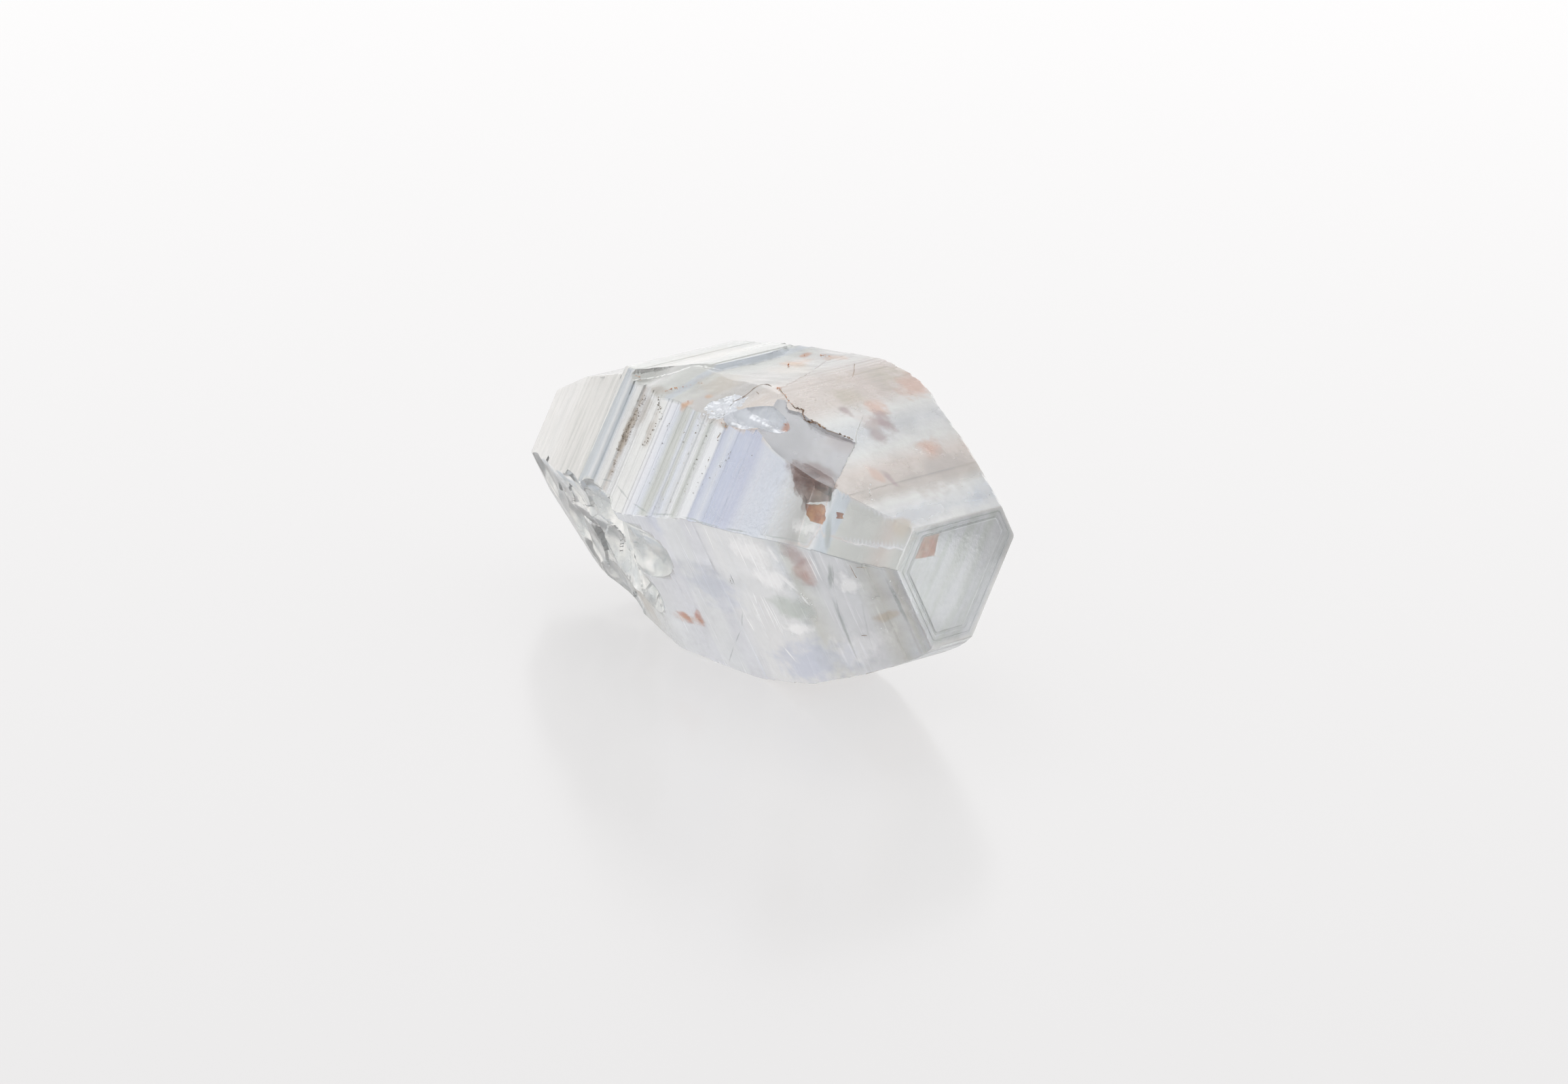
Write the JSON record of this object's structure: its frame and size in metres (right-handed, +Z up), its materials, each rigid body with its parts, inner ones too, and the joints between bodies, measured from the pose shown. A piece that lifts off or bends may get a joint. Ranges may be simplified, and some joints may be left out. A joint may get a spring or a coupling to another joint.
{
  "type": "sapphire crystal",
  "caption": "Natural rough sapphire crystal: a six-sided tapering barrel with growth ledges, a flat basal end and a broken edge, lying on a face.",
  "frame": {"origin": "centre of the crystal's footprint on the surface that it lies on", "axes": "+X along the crystal's length, towards the basal end; +Y across it, away from the broken front edge; +Z up"},
  "size_m": [0.015, 0.0088, 0.0078],
  "materials": {
    "corundum": "translucent pale blue grey corundum, glassy on breaks and finely striated on the grown faces"
  },
  "bodies": {
    "root": {"sapphire_crystal": "corundum"}
  },
  "joints": []
}
